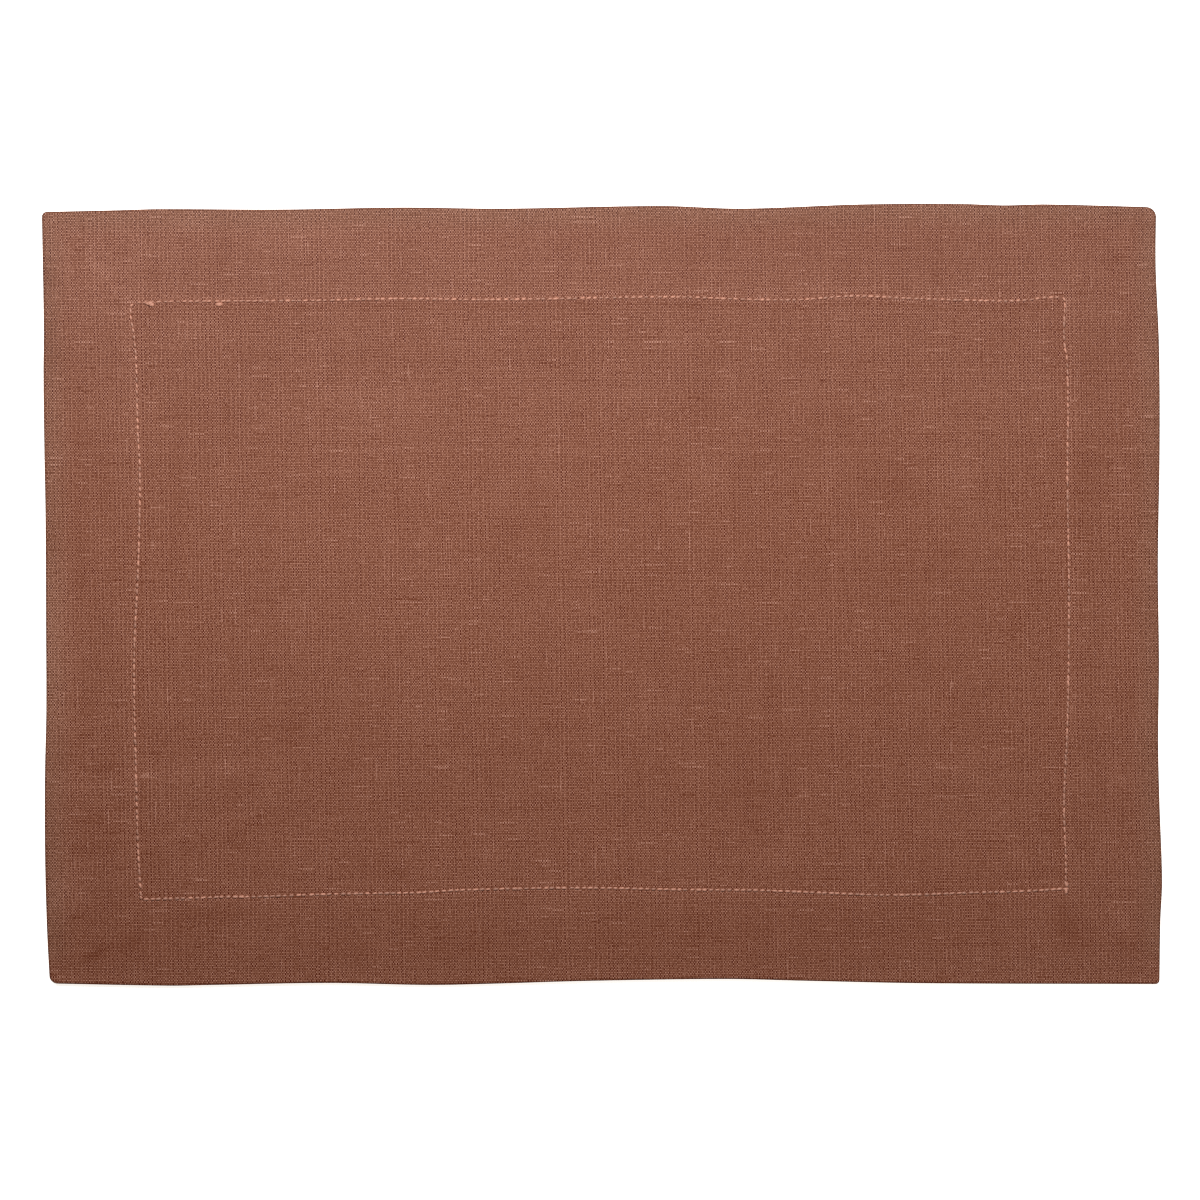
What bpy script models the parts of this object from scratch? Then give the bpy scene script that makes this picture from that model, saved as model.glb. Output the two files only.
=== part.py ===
"""A rectangular linen placemat: one cloth, its hem turned under all round and mitred at the corners.

It lies flat and face up. X runs along the long sides, Y along the short sides, Z up. The origin is
the middle of the underside, so the mat stands on the plane z = 0.
"""

import math
from bisect import bisect_right
from typing import NamedTuple

import bmesh
import bpy

MM = 0.001

# Driving dimensions, in millimetres
MAT_LENGTH = 500.0
MAT_WIDTH = 350.0
HEM_WIDTH = 41.5  # from the outer fold to the sewn line
HEM_TAIL = 1.5  # the turned layer runs on this far past the sewn line
HEM_SLOPE = 9.0  # the face comes down from the hem to the table over this length
CLOTH_THICKNESS = 1.0
LAYER_GAP = 0.3  # between the face and the layer turned under it
SEWN_TROUGH = 0.15  # how far the thread pulls the face down
TROUGH_HALF_WIDTH = 2.5
MITRE_RIDGE = 0.3  # how far the seam allowance inside a mitre lifts the face
MITRE_HALF_WIDTH = 5.0
FIELD_PITCH = 10.0  # mesh spacing inside the hem
HEM_LINES = (2.4, 4.6, 11.0, 18.0, 25.0, 32.0, 37.5)  # mesh lines over the hem, in from the edge
SLOPE_LINES = (44.0, 48.0, 52.0)  # and down the slope inside it
FOLD_STEPS = 4  # facets round the outer fold
FOLD_LIFT = 0.2  # the outer fold stands this far off the table
FLAT_FROM = 8.0  # in from the edge, where the turned layer comes down to the table
FOOT = 0.01  # the underside is this much lower at its four corners, and the mat rests on them

HALF_LENGTH = MAT_LENGTH / 2
HALF_WIDTH = MAT_WIDTH / 2
FACE_LEVEL = FOOT + CLOTH_THICKNESS / 2  # middle of a single layer that lies on the table
LAYER_STEP = CLOTH_THICKNESS + LAYER_GAP
FOLD_RADIUS = LAYER_STEP / 2
FOLD_START = CLOTH_THICKNESS / 2 + FOLD_RADIUS  # where the fold begins, in from the edge

LINEN_COLOUR = (0.255, 0.098, 0.063, 1.0)
LINEN_ROUGHNESS = 0.95


class Wander(NamedTuple):
    """How far a side strays from its true straight line, at a place along it."""

    along: float  # from the middle of the side, towards +X or +Y
    out: float  # away from the mat's middle


class Crease(NamedTuple):
    """A soft ridge left by folding: its two ends, its height and half of its width."""

    x1: float
    y1: float
    x2: float
    y2: float
    height: float
    half_width: float


class HemLine(NamedTuple):
    """A line of the folded hem that runs round the whole mat."""

    inset: float  # in from the edge
    height: float  # of the middle of the cloth
    straight: bool = False  # it keeps to the true rectangle, and the mat's feet are its corners


class Side(NamedTuple):
    """One side of the mat: its outer fold and its sewn line, each as it wanders."""

    edge: tuple
    sewn: tuple


BACK = Side(
    edge=(
        Wander(-250, -3.3),
        Wander(-214, -2.5),
        Wander(-196, -2.0),
        Wander(-142, -2.2),
        Wander(-88, -1.3),
        Wander(-43, -1.8),
        Wander(28, -0.6),
        Wander(64, -1.8),
        Wander(118, 0.1),
        Wander(163, 0.3),
        Wander(181, -0.3),
        Wander(200, 0.1),
        Wander(250, -1.2),
    ),
    sewn=(
        Wander(-209, -2.6),
        Wander(-189, -2.0),
        Wander(-128, -1.6),
        Wander(-88, -0.8),
        Wander(-48, -1.2),
        Wander(33, 0.0),
        Wander(67, -1.1),
        Wander(90, -1.2),
        Wander(114, 0.4),
        Wander(141, -0.7),
        Wander(181, -1.7),
        Wander(207, 0.4),
    ),
)

FRONT = Side(
    edge=(
        Wander(-250, -0.7),
        Wander(-196, 0.3),
        Wander(-178, 0.0),
        Wander(-124, -0.9),
        Wander(-79, 0.0),
        Wander(-52, -0.5),
        Wander(-8, -1.8),
        Wander(55, -2.7),
        Wander(91, -1.9),
        Wander(145, -0.8),
        Wander(250, -0.4),
    ),
    sewn=(
        Wander(-206, 3.0),
        Wander(-159, 2.1),
        Wander(-119, 0.7),
        Wander(-85, 0.2),
        Wander(-65, -0.9),
        Wander(-11, -2.0),
        Wander(36, -1.3),
        Wander(70, -1.0),
        Wander(96, 0.1),
        Wander(130, 1.3),
        Wander(170, -0.1),
        Wander(208, -1.8),
    ),
)

LEFT = Side(
    edge=(
        Wander(-175, -2.4),
        Wander(-148, -1.1),
        Wander(-112, -0.2),
        Wander(-77, -0.2),
        Wander(-50, -0.8),
        Wander(-14, -0.7),
        Wander(40, -0.4),
        Wander(67, 0.1),
        Wander(103, 0.5),
        Wander(121, 0.3),
        Wander(175, 1.2),
    ),
    sewn=(
        Wander(-134, -1.9),
        Wander(-107, -0.4),
        Wander(-75, 0.4),
        Wander(-48, 1.1),
        Wander(-21, 1.1),
        Wander(11, -0.4),
        Wander(33, -1.1),
        Wander(60, -1.3),
        Wander(76, -0.2),
        Wander(103, 0.4),
        Wander(114, 1.1),
        Wander(124, 2.7),
        Wander(132, 2.9),
    ),
)

RIGHT = Side(
    edge=(
        Wander(-175, 0.0),
        Wander(-148, 0.4),
        Wander(-130, 1.2),
        Wander(-94, 0.0),
        Wander(-67, -0.6),
        Wander(-32, -0.2),
        Wander(13, -0.7),
        Wander(67, 0.1),
        Wander(112, -0.2),
        Wander(148, -1.7),
        Wander(175, -1.5),
    ),
    sewn=(
        Wander(-132, -0.6),
        Wander(-121, -0.6),
        Wander(-94, -1.4),
        Wander(-67, -0.2),
        Wander(-45, 0.5),
        Wander(8, 1.1),
        Wander(41, 0.4),
        Wander(78, 0.5),
        Wander(105, 0.1),
        Wander(111, -0.8),
        Wander(132, -1.5),
    ),
)

# Radius of each outer corner, by the signs of its X and Y
CORNER_RADIUS = {(-1, 1): 1.2, (1, 1): 4.5, (1, -1): 1.8, (-1, -1): 3.5}

CREASES = (
    Crease(-243, -89, -162, -79, height=0.5, half_width=8),
    Crease(-203, -112, -153, -94, height=0.4, half_width=8),
    Crease(-153, -94, -150, -48, height=0.3, half_width=8),
    Crease(-245, -63, -212, -56, height=0.4, half_width=8),
    Crease(145, -81, 205, -67, height=0.5, half_width=8),
    Crease(119, -22, 119, -88, height=0.3, half_width=8),
    Crease(101, -88, 101, -124, height=0.3, half_width=8),
    Crease(40, 112, 26, 56, height=0.4, half_width=10),
    Crease(-77, -68, -62, -42, height=0.3, half_width=9),
    Crease(143, 70, 143, 33, height=0.3, half_width=9),
    Crease(-59, -66, -59, -118, height=0.25, half_width=8),
    Crease(-96, 62, -84, 40, height=0.3, half_width=9),
)
CREASE_CLEAR_OF_EDGE = 6.0  # the outer fold itself stays round


def smooth_step(value):
    """0 below 0, 1 above 1 and an S between them."""
    value = min(max(value, 0.0), 1.0)
    return value * value * (3.0 - 2.0 * value)


def soft_bump(distance, half_width):
    """1 at no distance, falling smoothly to 0 at half_width."""
    if abs(distance) >= half_width:
        return 0.0
    return (1.0 - (distance / half_width) ** 2) ** 2


def wander_at(rows, along):
    """The smooth curve through a table's rows, level beyond its ends."""
    places = [row.along for row in rows]
    along = min(max(along, places[0]), places[-1])
    after = min(bisect_right(places, along), len(rows) - 1)
    start, end = rows[after - 1], rows[after]
    before = rows[max(after - 2, 0)]
    beyond = rows[min(after + 1, len(rows) - 1)]
    length = end.along - start.along
    part = (along - start.along) / length
    start_slope = (end.out - before.out) / (end.along - before.along)
    end_slope = (beyond.out - start.out) / (beyond.along - start.along)
    rise = smooth_step(part)
    level = start.out * (1.0 - rise) + end.out * rise
    leaving = start_slope * part * (1.0 - part) ** 2
    arriving = end_slope * part**2 * (1.0 - part)
    return level + length * (leaving - arriving)


def stray(low_side, high_side, along, across, half):
    """How far a place moves across the mat, as the two sides facing each other pull it."""
    sewn = half - HEM_WIDTH
    if abs(across) < sewn:
        share = (across + sewn) / (2.0 * sewn)
        pull_up = wander_at(high_side.sewn, along)
        pull_down = wander_at(low_side.sewn, along)
        return pull_up * share - pull_down * (1.0 - share)
    side = high_side if across > 0 else low_side
    share = (abs(across) - sewn) / HEM_WIDTH
    pull = wander_at(side.edge, along) * share + wander_at(side.sewn, along) * (1.0 - share)
    return math.copysign(1.0, across) * pull


def rounded(x, y):
    """The place (x, y) of a true rectangle, drawn in where its corner is rounded."""
    signs = (1 if x > 0 else -1, 1 if y > 0 else -1)
    radius = CORNER_RADIUS[signs]
    centre_x = HALF_LENGTH - radius
    centre_y = HALF_WIDTH - radius
    past_x = abs(x) - centre_x
    past_y = abs(y) - centre_y
    if past_x <= 0 or past_y <= 0:
        return x, y
    if past_x >= past_y:
        reach = past_x
        angle = math.pi / 4 * past_y / past_x
    else:
        reach = past_y
        angle = math.pi / 2 - math.pi / 4 * past_x / past_y
    return (
        signs[0] * (centre_x + reach * math.cos(angle)),
        signs[1] * (centre_y + reach * math.sin(angle)),
    )


def plan(x, y):
    """Where the place (x, y) of the true rectangle lies on the real, uneven mat."""
    round_x, round_y = rounded(x, y)
    return (
        round_x + stray(LEFT, RIGHT, y, x, HALF_LENGTH),
        round_y + stray(FRONT, BACK, x, y, HALF_WIDTH),
    )


def crease_lift(x, y):
    """How far the folding creases lift the face at (x, y)."""
    lift = 0.0
    for crease in CREASES:
        run_x = crease.x2 - crease.x1
        run_y = crease.y2 - crease.y1
        length = math.hypot(run_x, run_y)
        along = ((x - crease.x1) * run_x + (y - crease.y1) * run_y) / length
        aside = ((y - crease.y1) * run_x - (x - crease.x1) * run_y) / length
        past_end = max(-along, along - length, 0.0)
        lift += crease.height * soft_bump(math.hypot(aside, past_end), crease.half_width)
    return lift


def fold_lift(inset):
    """How far the hem stands off the table near its outer fold."""
    return FOLD_LIFT * (1.0 - smooth_step(inset / FLAT_FROM))


def face_height(x, y):
    """Height of the middle of the face's layer above the table, at the true place (x, y)."""
    edge_x = HALF_LENGTH - abs(x)
    edge_y = HALF_WIDTH - abs(y)
    inside = min(edge_x, edge_y) - HEM_WIDTH
    on_hem = 1.0 - smooth_step((inside - HEM_TAIL) / HEM_SLOPE)
    height = FACE_LEVEL + LAYER_STEP * on_hem + fold_lift(min(edge_x, edge_y))
    height -= SEWN_TROUGH * soft_bump(inside, TROUGH_HALF_WIDTH)
    clear = smooth_step(min(edge_x, edge_y) / CREASE_CLEAR_OF_EDGE - 0.5)
    off_mitre = (edge_x - edge_y) / math.sqrt(2.0)
    in_corner = smooth_step((HEM_WIDTH - max(edge_x, edge_y)) / MITRE_HALF_WIDTH)
    height += MITRE_RIDGE * clear * in_corner * soft_bump(off_mitre, MITRE_HALF_WIDTH)
    return height + clear * crease_lift(x, y)


def mesh_lines(half):
    """Places of the mesh lines across the face, the same on both sides of its middle."""
    border = [half - inset for inset in (FOLD_START, *HEM_LINES, HEM_WIDTH, *SLOPE_LINES)]
    steps = 2 * math.ceil(border[-1] / FIELD_PITCH)
    field = [border[-1] * (2.0 * step / steps - 1.0) for step in range(1, steps)]
    return [-line for line in border] + field + border[::-1]


def add_face(mesh):
    """The face of the mat, as a sheet of no thickness. Gives each point's place in the true rectangle."""
    columns = mesh_lines(HALF_LENGTH)
    rows = mesh_lines(HALF_WIDTH)
    x_steps = len(columns) - 1
    y_steps = len(rows) - 1
    grid = bmesh.ops.create_grid(mesh, x_segments=x_steps, y_segments=y_steps, size=0.5)
    places = {}
    for point in grid["verts"]:
        x = columns[round((point.co.x + 0.5) * x_steps)]
        y = rows[round((point.co.y + 0.5) * y_steps)]
        places[point] = (x, y)
        point.co = (*plan(x, y), face_height(x, y))
    return places


def hem_lines():
    """The lines round the outer fold and across the turned layer, from the face to the sewn line."""
    lines = []
    for step in range(1, FOLD_STEPS + 1):
        angle = math.pi * step / FOLD_STEPS
        inset = FOLD_START - FOLD_RADIUS * math.sin(angle)
        round_fold = FOLD_RADIUS * (1.0 + math.cos(angle))
        lines.append(HemLine(inset, FACE_LEVEL + fold_lift(inset) + round_fold))
    lines.append(HemLine(FLAT_FROM, FACE_LEVEL, straight=True))
    lines.append(HemLine(HEM_WIDTH + HEM_TAIL, FACE_LEVEL))
    return lines


def hem_point(line, x, y):
    """Where the point (x, y) of the true rectangle lies on one line of the hem."""
    if not line.straight:
        return (*plan(x, y), line.height)
    inmost = line.inset + 0.001
    is_foot = HALF_LENGTH - abs(x) < inmost and HALF_WIDTH - abs(y) < inmost
    return (x, y, line.height - FOOT * is_foot)


def add_hem(mesh, places):
    """Carries the rim of the face round the outer fold and back under it, line by line."""
    rim = [edge for edge in mesh.edges if edge.is_boundary]
    last_inset = FOLD_START
    for line in hem_lines():
        shrink_x = (HALF_LENGTH - line.inset) / (HALF_LENGTH - last_inset)
        shrink_y = (HALF_WIDTH - line.inset) / (HALF_WIDTH - last_inset)
        ring = bmesh.ops.extrude_edge_only(mesh, edges=rim)["geom"]
        rim = [item for item in ring if isinstance(item, bmesh.types.BMEdge)]
        new_places = {}
        for point in ring:
            if not isinstance(point, bmesh.types.BMVert):
                continue
            neighbours = [edge.other_vert(point) for edge in point.link_edges]
            x, y = next(places[neighbour] for neighbour in neighbours if neighbour in places)
            new_places[point] = (x * shrink_x, y * shrink_y)
            point.co = hem_point(line, *new_places[point])
        places = new_places
        last_inset = line.inset


def linen_material():
    material = bpy.data.materials.new("terracotta_linen")
    material.use_nodes = True
    shader = material.node_tree.nodes["Principled BSDF"]
    shader.inputs["Base Color"].default_value = LINEN_COLOUR
    shader.inputs["Roughness"].default_value = LINEN_ROUGHNESS
    shader.inputs["Metallic"].default_value = 0.0
    return material


def level_feet(mesh):
    """Sets the underside's four lowest points down exactly on the table, so that the mat can't rock."""
    for point in mesh.vertices:
        if point.co.z < FOOT / 2 * MM:
            point.co.z = 0.0


def build_cloth(collection):
    """The cloth: face, outer fold and turned layer in one sheet, given its thickness both ways."""
    sheet = bmesh.new()
    add_hem(sheet, add_face(sheet))
    bmesh.ops.scale(sheet, vec=(MM, MM, MM), verts=sheet.verts)
    mesh = bpy.data.meshes.new("placemat_cloth")
    sheet.to_mesh(mesh)
    sheet.free()
    mesh.shade_smooth()
    mesh.materials.append(linen_material())
    cloth = bpy.data.objects.new("placemat_cloth", mesh)
    collection.objects.link(cloth)
    thickness = cloth.modifiers.new("cloth_thickness", "SOLIDIFY")
    thickness.thickness = CLOTH_THICKNESS * MM
    thickness.offset = 0.0
    bpy.context.view_layer.objects.active = cloth
    bpy.ops.object.modifier_apply(modifier=thickness.name)
    level_feet(cloth.data)


def main():
    for thing in list(bpy.data.objects):
        bpy.data.objects.remove(thing, do_unlink=True)
    collection = bpy.data.collections.new("fabric_placemat")
    bpy.context.scene.collection.children.link(collection)
    build_cloth(collection)


main()
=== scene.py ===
"""Dresses the linen placemat: woven cloth, the sewn row and its knots, a pale table and soft light.

The mat is uneven, as the real one is: each side wanders in its own way and no two creases are alike.
"""

import math
import random
from bisect import bisect_right
from typing import NamedTuple

import bmesh
import bpy
import numpy as np
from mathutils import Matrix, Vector


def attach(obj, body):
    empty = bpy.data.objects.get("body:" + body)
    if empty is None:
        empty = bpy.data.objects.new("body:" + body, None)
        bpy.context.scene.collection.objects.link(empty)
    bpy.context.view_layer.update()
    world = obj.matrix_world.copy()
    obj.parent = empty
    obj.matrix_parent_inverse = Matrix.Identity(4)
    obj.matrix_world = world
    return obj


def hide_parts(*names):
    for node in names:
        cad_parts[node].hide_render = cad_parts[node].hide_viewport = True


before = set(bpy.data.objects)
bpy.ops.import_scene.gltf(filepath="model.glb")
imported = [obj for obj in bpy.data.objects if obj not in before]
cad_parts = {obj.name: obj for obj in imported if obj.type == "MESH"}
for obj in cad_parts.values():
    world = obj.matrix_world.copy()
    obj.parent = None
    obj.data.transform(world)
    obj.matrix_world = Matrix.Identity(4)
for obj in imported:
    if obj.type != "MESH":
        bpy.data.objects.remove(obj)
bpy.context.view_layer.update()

MM = 0.001

# ---------------------------------------------------------------- the mat's own sizes, in millimetres

MAT_LENGTH = 500.0
MAT_WIDTH = 350.0
HEM_WIDTH = 41.5  # from the outer fold to the sewn row
HEM_TAIL = 1.5  # the turned layer runs on this far past the row
CLOTH_THICKNESS = 1.0
LAYER_GAP = 0.3  # between the two layers of the hem
HEM_STEP = 3.5  # past the hem the face steps down over this length, by a share of the hem's height
STEP_SHARE = 0.23
HEM_SLOPE = 36.0  # the rest of the way it eases down over this length
SEWN_TROUGH = 0.08  # the thread draws the face down along the row
TROUGH_HALF_WIDTH = 1.6
SEWN_GROOVE = 0.25  # and it draws the turned layer up
SEWN_GROOVE_HALF_WIDTH = 1.6
MITRE_RIDGE = 0.15  # the face lies higher over a folded corner
MITRE_HALF_WIDTH = 5.0
MITRE_GROOVE = 0.4  # the seam of the turned layer at a corner, seen from below
MITRE_GROOVE_HALF_WIDTH = 1.1
MITRE_GROOVE_RISE = 4.0  # it deepens over this length from the fold
FOLD_LIFT = 0.2  # the outer fold stands this far off the table
FLAT_FROM = 8.0  # and the cloth lies flat from this far in
FOOT = 0.01  # height of the flat underside

FIELD_PITCH = 3.0  # mesh spacing inside the hem
# how far in from the edge the mesh has its lines: on the hem, about the row, and on the turned layer
HEM_LINES = (1.8, 2.6, 3.6, 4.8, 6.4, 8.0, 10.5, 13.0, 16.0, 19.0, 22.0, 25.0, 28.0, 31.0, 34.0)
ROW_LINES = (36.5, 38.5, 39.6, 40.4, 41.0, 41.5, 42.0, 42.6, 43.4, 44.5, 46.0, 47.7, 49.4, 51.0, 52.5)
TURNED_LINES = (3.5, 5.5, 8.0, 14.0, 21.0, 28.0, 34.0, 38.5, 39.8, 40.4, 41.0, 41.5, 42.0, 42.6, 43.0)
FOLD_STEPS = 10  # faces round the outer fold

HALF_LENGTH = MAT_LENGTH / 2
HALF_WIDTH = MAT_WIDTH / 2
FACE_LEVEL = FOOT + CLOTH_THICKNESS / 2  # the middle of a layer that lies flat
LAYER_STEP = CLOTH_THICKNESS + LAYER_GAP
FOLD_RADIUS = LAYER_STEP / 2
FOLD_START = CLOTH_THICKNESS / 2 + FOLD_RADIUS  # this far in from the edge the face begins to turn


class Wander(NamedTuple):
    """How far a side strays from its true straight line, at a place along it."""

    along: float
    out: float


class Crease(NamedTuple):
    """A soft ridge left by folding, steeper to the left of the way it runs than to the right."""

    x1: float
    y1: float
    x2: float
    y2: float
    height: float
    left: float
    right: float


class Side(NamedTuple):
    """How one side's outer fold and its sewn row wander."""

    edge: tuple
    sewn: tuple


BACK = Side(
    edge=(
        Wander(-250, -3.3), Wander(-214, -2.5), Wander(-196, -2.0), Wander(-142, -2.2),
        Wander(-88, -1.3), Wander(-43, -1.8), Wander(28, -0.6), Wander(64, -1.8), Wander(118, 0.1),
        Wander(163, 0.3), Wander(181, -0.3), Wander(200, 0.1), Wander(250, -1.2),
    ),
    sewn=(
        Wander(-209, -2.6), Wander(-189, -2.0), Wander(-128, -1.6), Wander(-88, -0.8), Wander(-48, -1.2),
        Wander(33, 0.0), Wander(67, -1.1), Wander(90, -1.2), Wander(114, 0.4), Wander(141, -0.7),
        Wander(181, -1.8), Wander(193, -1.2), Wander(199, -0.3), Wander(207, -0.1),
    ),
)
FRONT = Side(
    edge=(
        Wander(-250, -0.7), Wander(-196, 0.3), Wander(-178, 0.0), Wander(-124, -0.9), Wander(-79, 0.0),
        Wander(-52, -0.5), Wander(-8, -1.8), Wander(55, -2.7), Wander(91, -1.9), Wander(145, -0.8),
        Wander(250, -0.4),
    ),
    sewn=(
        Wander(-206, 3.0), Wander(-183, 2.4), Wander(-170, 1.9), Wander(-159, 1.9), Wander(-119, 0.6),
        Wander(-85, 0.1), Wander(-65, -1.1), Wander(-11, -2.1), Wander(36, -1.3), Wander(70, -1.0),
        Wander(96, 0.0), Wander(130, 1.1), Wander(170, -0.1), Wander(184, -0.4), Wander(195, -0.9),
        Wander(208, -1.8),
    ),
)
LEFT = Side(
    edge=(
        Wander(-175, -2.4), Wander(-148, -1.1), Wander(-112, -0.2), Wander(-77, -0.2), Wander(-50, -0.8),
        Wander(-14, -0.7), Wander(40, -0.4), Wander(67, 0.1), Wander(103, 0.5), Wander(121, 0.3),
        Wander(175, 1.2),
    ),
    sewn=(
        Wander(-134, -1.9), Wander(-107, -0.4), Wander(-75, 0.4), Wander(-48, 1.1), Wander(-21, 1.1),
        Wander(11, -0.4), Wander(33, -1.1), Wander(60, -1.3), Wander(76, -0.4), Wander(103, 0.2),
        Wander(110, 0.5), Wander(114, 0.8), Wander(119, 1.3), Wander(123, 2.0), Wander(127, 2.7),
        Wander(132, 2.8),
    ),
)
RIGHT = Side(
    edge=(
        Wander(-175, 0.0), Wander(-148, 0.4), Wander(-130, 1.2), Wander(-94, 0.0), Wander(-67, -0.6),
        Wander(-32, -0.2), Wander(13, -0.7), Wander(67, 0.1), Wander(112, -0.2), Wander(148, -1.7),
        Wander(175, -1.5),
    ),
    sewn=(
        Wander(-132, -0.6), Wander(-121, -0.6), Wander(-94, -1.4), Wander(-67, -0.2), Wander(-45, 0.5),
        Wander(8, 0.8), Wander(41, 0.2), Wander(67, 0.2), Wander(78, 0.4), Wander(105, 0.0),
        Wander(111, -1.0), Wander(119, -1.5), Wander(124, -1.2), Wander(132, -0.9),
    ),
)
CORNER_RADIUS = {(-1, 1): 2.2, (1, 1): 4.5, (1, -1): 1.8, (-1, -1): 3.5}  # by the signs of x and y
CREASES = (
    Crease(-247, -84, -216, -80, height=0.2, left=5, right=8),
    Crease(-216, -80, -158, -77, height=0.35, left=5, right=12),
    Crease(-206, -111, -167, -101, height=0.25, left=4, right=12),
    Crease(-167, -101, -154, -93, height=0.25, left=4, right=12),
    Crease(-154, -93, -146, -62, height=0.25, left=8, right=8),
    Crease(-245, -63, -212, -56, height=0.2, left=6, right=10),
    Crease(145, -81, 205, -67, height=0.3, left=5, right=10),
    Crease(119, -22, 119, -88, height=0.25, left=8, right=8),
    Crease(101, -88, 101, -124, height=0.25, left=8, right=8),
    Crease(40, 112, 26, 56, height=0.35, left=10, right=10),
    Crease(-77, -68, -62, -42, height=0.25, left=9, right=9),
    Crease(143, 70, 143, 33, height=0.25, left=9, right=9),
    Crease(-59, -66, -59, -118, height=0.2, left=8, right=8),
    Crease(-96, 62, -84, 40, height=0.25, left=9, right=9),
)
CREASE_END = 8.0  # a crease runs out over this length
CLEAR_OF_EDGE = 6.0  # creases and ridges rise about this far in: from half of it to one and a half


class ToneAndPaintedLightBlot(NamedTuple):
    """A soft place where the cloth is a little lighter, or darker, than the rest: painted light and
    shade along creases, folded corners and the hem, and tone that differs at random.
    """

    x: float
    y: float
    half_length: float
    half_width: float
    lighter: float
    turned: float = 0.0  # degrees


# painted highlights and painted shade along the creases, folded corners and the hem's slopes, and tone
# that differs at random
TONE_AND_PAINTED_LIGHT_BLOTS = (
    # the left hem
    ToneAndPaintedLightBlot(-246, -20, 14, 62, 0.24), ToneAndPaintedLightBlot(-242, -128, 16, 17, 0.18), ToneAndPaintedLightBlot(-248, 118, 9, 26, -0.15),
    ToneAndPaintedLightBlot(-248, 145, 7, 14, -0.18), ToneAndPaintedLightBlot(-229, 62, 15, 42, -0.07), ToneAndPaintedLightBlot(-223, -75, 15, 4.5, -0.26),
    ToneAndPaintedLightBlot(-231, -84, 26, 3.5, 0.14, turned=6), ToneAndPaintedLightBlot(-228, -97, 12, 4, -0.10),
    ToneAndPaintedLightBlot(-228, -111, 14, 5, -0.16),
    # the back left corner
    ToneAndPaintedLightBlot(-222, 147, 18, 3.5, 0.22, turned=-46), ToneAndPaintedLightBlot(-214, 134, 6, 4, -0.24),
    ToneAndPaintedLightBlot(-211, 157, 6, 6, -0.12), ToneAndPaintedLightBlot(-198, 146, 8, 6, -0.12), ToneAndPaintedLightBlot(-166, 154, 6, 18, -0.12),
    ToneAndPaintedLightBlot(-180, 120, 18, 16, 0.10), ToneAndPaintedLightBlot(-182, 168, 14, 8, 0.16),
    # the back hem
    ToneAndPaintedLightBlot(-130, 163, 44, 12, 0.12), ToneAndPaintedLightBlot(-88, 140, 6, 22, -0.10), ToneAndPaintedLightBlot(42, 142, 6, 24, -0.08),
    ToneAndPaintedLightBlot(150, 146, 6, 22, -0.10), ToneAndPaintedLightBlot(229, 152, 8, 8, -0.08),
    # the right hem
    ToneAndPaintedLightBlot(218, 64, 12, 70, -0.06), ToneAndPaintedLightBlot(242, 96, 8, 50, 0.06),
    # the front hem and its corners
    ToneAndPaintedLightBlot(-229, -160, 12, 5, -0.28, turned=35), ToneAndPaintedLightBlot(-213, -154, 11, 5, -0.20, turned=25),
    ToneAndPaintedLightBlot(-213, -140, 9, 3, 0.14, turned=45), ToneAndPaintedLightBlot(-174, -142, 30, 6, -0.16),
    ToneAndPaintedLightBlot(208, -149, 10, 18, -0.18), ToneAndPaintedLightBlot(215, -150, 12, 12, -0.10), ToneAndPaintedLightBlot(237, -157, 10, 9, -0.18),
    ToneAndPaintedLightBlot(233, -148, 20, 2.6, 0.24, turned=-58), ToneAndPaintedLightBlot(0, -156, 250, 18, -0.07),
    ToneAndPaintedLightBlot(-110, -160, 8, 18, -0.06), ToneAndPaintedLightBlot(40, -158, 7, 18, -0.05),
    # inside the row
    ToneAndPaintedLightBlot(-192, 60, 7, 70, -0.08), ToneAndPaintedLightBlot(-163, -106, 6, 14, -0.08), ToneAndPaintedLightBlot(-165, -75, 12, 5, 0.14),
    ToneAndPaintedLightBlot(-192, -78, 30, 2.4, 0.06, turned=3), ToneAndPaintedLightBlot(-187, -104, 22, 2.0, 0.14, turned=15),
    ToneAndPaintedLightBlot(-160, -97, 9, 2.2, 0.16, turned=30), ToneAndPaintedLightBlot(-150, -88, 9, 2.4, 0.14, turned=60),
    ToneAndPaintedLightBlot(-147, -70, 14, 2.4, 0.10, turned=85), ToneAndPaintedLightBlot(48, 84, 12, 28, -0.08), ToneAndPaintedLightBlot(48, 52, 14, 14, 0.08),
    ToneAndPaintedLightBlot(128, 53, 16, 15, -0.08), ToneAndPaintedLightBlot(160, 53, 18, 24, 0.09), ToneAndPaintedLightBlot(-82, -50, 18, 28, 0.10),
    ToneAndPaintedLightBlot(-141, -60, 18, 14, -0.07), ToneAndPaintedLightBlot(-103, -120, 22, 11, -0.08), ToneAndPaintedLightBlot(66, -90, 24, 36, -0.07),
    ToneAndPaintedLightBlot(27, -81, 10, 8, -0.09), ToneAndPaintedLightBlot(135, 6, 24, 15, -0.07), ToneAndPaintedLightBlot(-30, 35, 20, 24, -0.06),
    ToneAndPaintedLightBlot(10, -50, 50, 20, 0.05), ToneAndPaintedLightBlot(-110, 85, 40, 22, 0.06),
    # wide and faint
    ToneAndPaintedLightBlot(-222, 150, 55, 45, 0.10), ToneAndPaintedLightBlot(90, 158, 150, 24, -0.09), ToneAndPaintedLightBlot(-212, -150, 50, 34, -0.08),
    ToneAndPaintedLightBlot(130, -136, 90, 34, -0.06), ToneAndPaintedLightBlot(236, -20, 24, 150, 0.05), ToneAndPaintedLightBlot(-100, 20, 170, 95, 0.06),
)

# ---------------------------------------------------------------- where the cloth lies


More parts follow.
